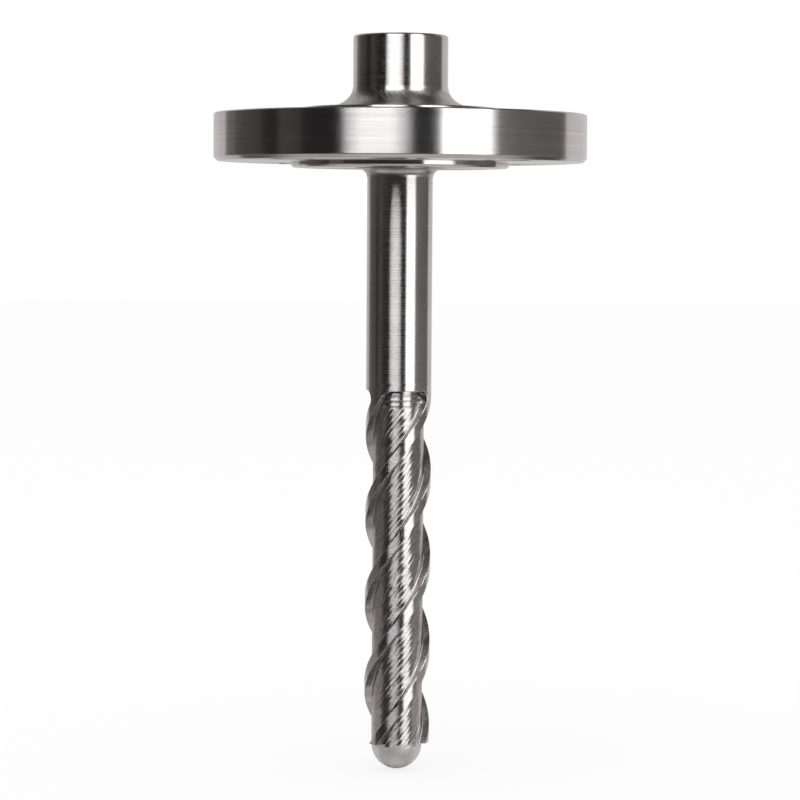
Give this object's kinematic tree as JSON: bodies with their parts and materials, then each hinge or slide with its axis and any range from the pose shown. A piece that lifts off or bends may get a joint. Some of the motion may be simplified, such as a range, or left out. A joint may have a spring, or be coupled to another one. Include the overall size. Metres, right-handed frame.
{
  "type": "thermowell",
  "caption": "Flanged thermowell: a bored round stem with helical strakes on its lower part, welded through a raised-face pipe flange, with a plain round head above.",
  "frame": {"origin": "centre of the raised face, where the stem's axis crosses the plane that seals on the gasket", "axes": "+Z along the stem's axis, away from the tip and up towards the instrument connection; bolt holes at 45 degrees to +X and +Y"},
  "size_m": [0.125, 0.125, 0.2474],
  "materials": {
    "stem": "polished stainless steel bar; milled grooves with fine cutter marks; satin rounded tip",
    "flange": "polished stainless steel; turned back; fine concentric serrations on the raised face",
    "weld": "ground and brushed stainless steel weld"
  },
  "bodies": {
    "root": {"well_stem": "stem", "flange": "flange", "upper_weld": "weld", "lower_weld": "weld"}
  },
  "joints": []
}
